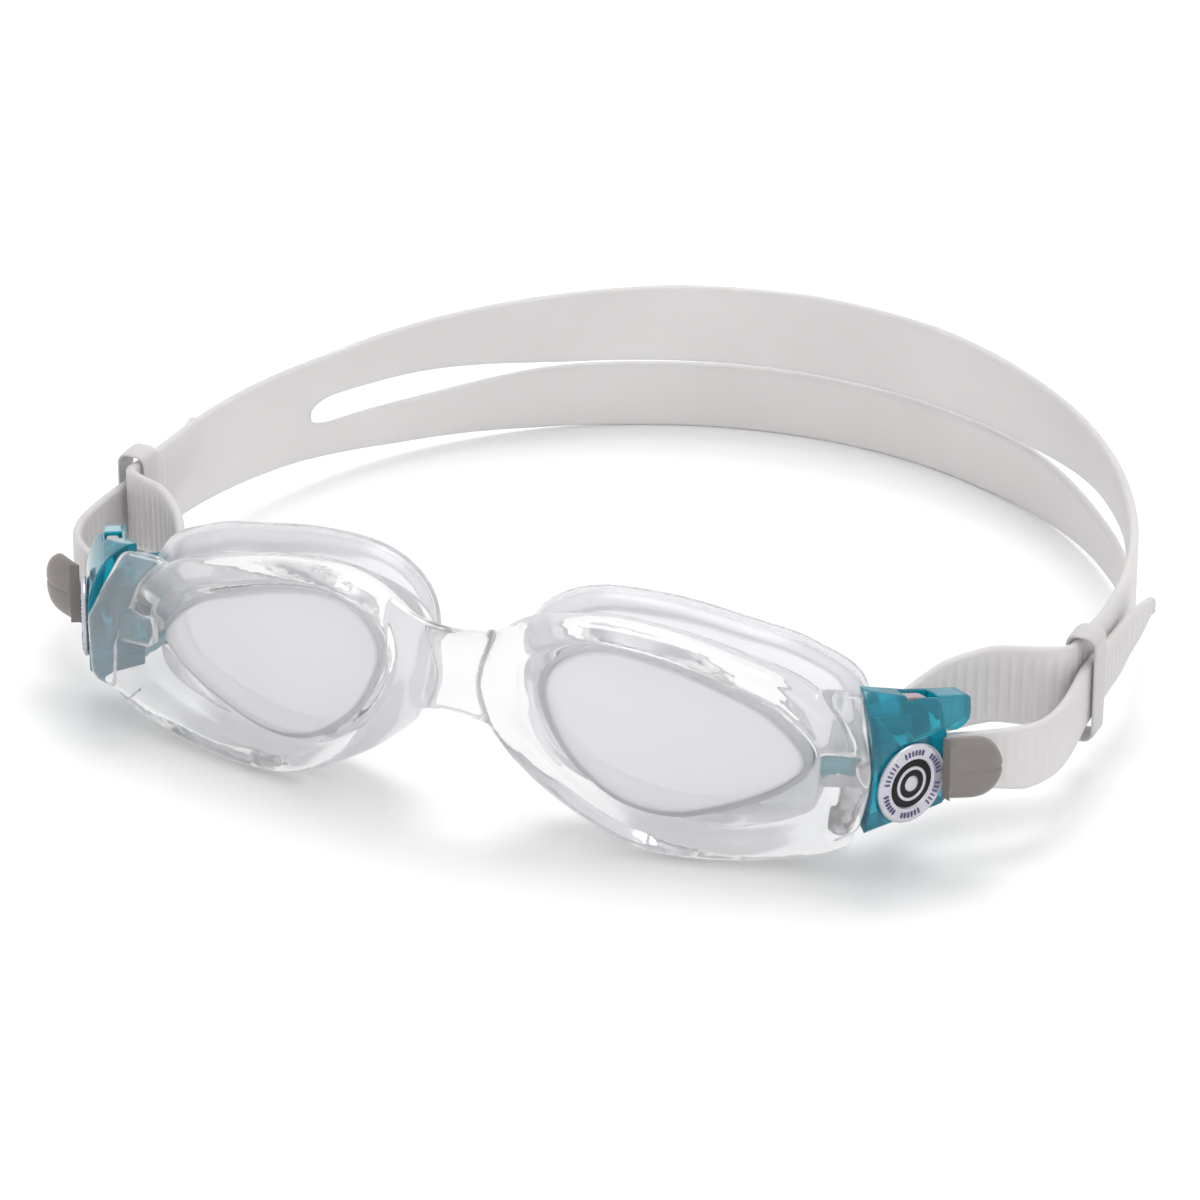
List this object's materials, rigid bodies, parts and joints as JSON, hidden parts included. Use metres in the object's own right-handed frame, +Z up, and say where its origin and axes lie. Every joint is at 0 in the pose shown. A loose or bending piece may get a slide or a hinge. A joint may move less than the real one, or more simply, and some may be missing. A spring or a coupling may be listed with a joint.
{
  "type": "swim goggles",
  "caption": "Clear swim goggles with soft eye seals, push-button strap buckles with round badges and a silicone head strap split in two bands at the back.",
  "frame": {"origin": "centre of the bounding box's base, on the surface that the goggles rest on", "axes": "+X towards the wearer's left, +Y towards the back of the head, +Z up; the wearer looks along -Y"},
  "size_m": [0.167, 0.1516, 0.0373],
  "materials": {
    "clear_frame": "clear, polished",
    "clear_lens": "clear, polished",
    "clear_seal": "clear silicone, satin",
    "buckle_plastic": "translucent, polished",
    "badge_metal": "satin silver with a black centre",
    "button_plastic": "warm grey, fine satin",
    "pin_steel": "bright",
    "bar_plastic": "warm grey",
    "clear_strap": "milky translucent silicone, satin"
  },
  "bodies": {
    "goggles": {"front_frame": "clear_frame", "lens_left": "clear_lens", "lens_right": "clear_lens", "skirt_left": "clear_seal", "skirt_right": "clear_seal", "buckle_housing_left": "buckle_plastic", "buckle_housing_right": "buckle_plastic", "badge_left": "badge_metal", "badge_right": "badge_metal", "pivot_pin_left": "pin_steel", "pivot_pin_right": "pin_steel", "return_spring_left": "pin_steel", "return_spring_right": "pin_steel", "strap_bar_left": "bar_plastic", "strap_bar_right": "bar_plastic", "head_strap": "clear_strap"},
    "release_lever_left": {"release_lever_left": "button_plastic"},
    "release_lever_right": {"release_lever_right": "button_plastic"},
    "strap_keeper_left": {"strap_keeper_left": "clear_strap"},
    "strap_keeper_right": {"strap_keeper_right": "clear_strap"}
  },
  "joints": [
    {"name": "press_left", "type": "hinge", "parent": "goggles", "child": "release_lever_left", "pos_m": [0.06711, -0.05523, 0.016], "axis": [0, 0, 1], "range_deg": [0, 6], "stiffness_Nm_per_rad": 0.3},
    {"name": "press_right", "type": "hinge", "parent": "goggles", "child": "release_lever_right", "pos_m": [-0.06711, -0.05523, 0.016], "axis": [0, 0, -1], "range_deg": [0, 6], "stiffness_Nm_per_rad": 0.3},
    {"name": "keeper_left_slide", "type": "slide", "parent": "goggles", "child": "strap_keeper_left", "axis": [0, 1, 0], "range_m": [0, 0.007]},
    {"name": "keeper_right_slide", "type": "slide", "parent": "goggles", "child": "strap_keeper_right", "axis": [0, 1, 0], "range_m": [0, 0.007]}
  ]
}
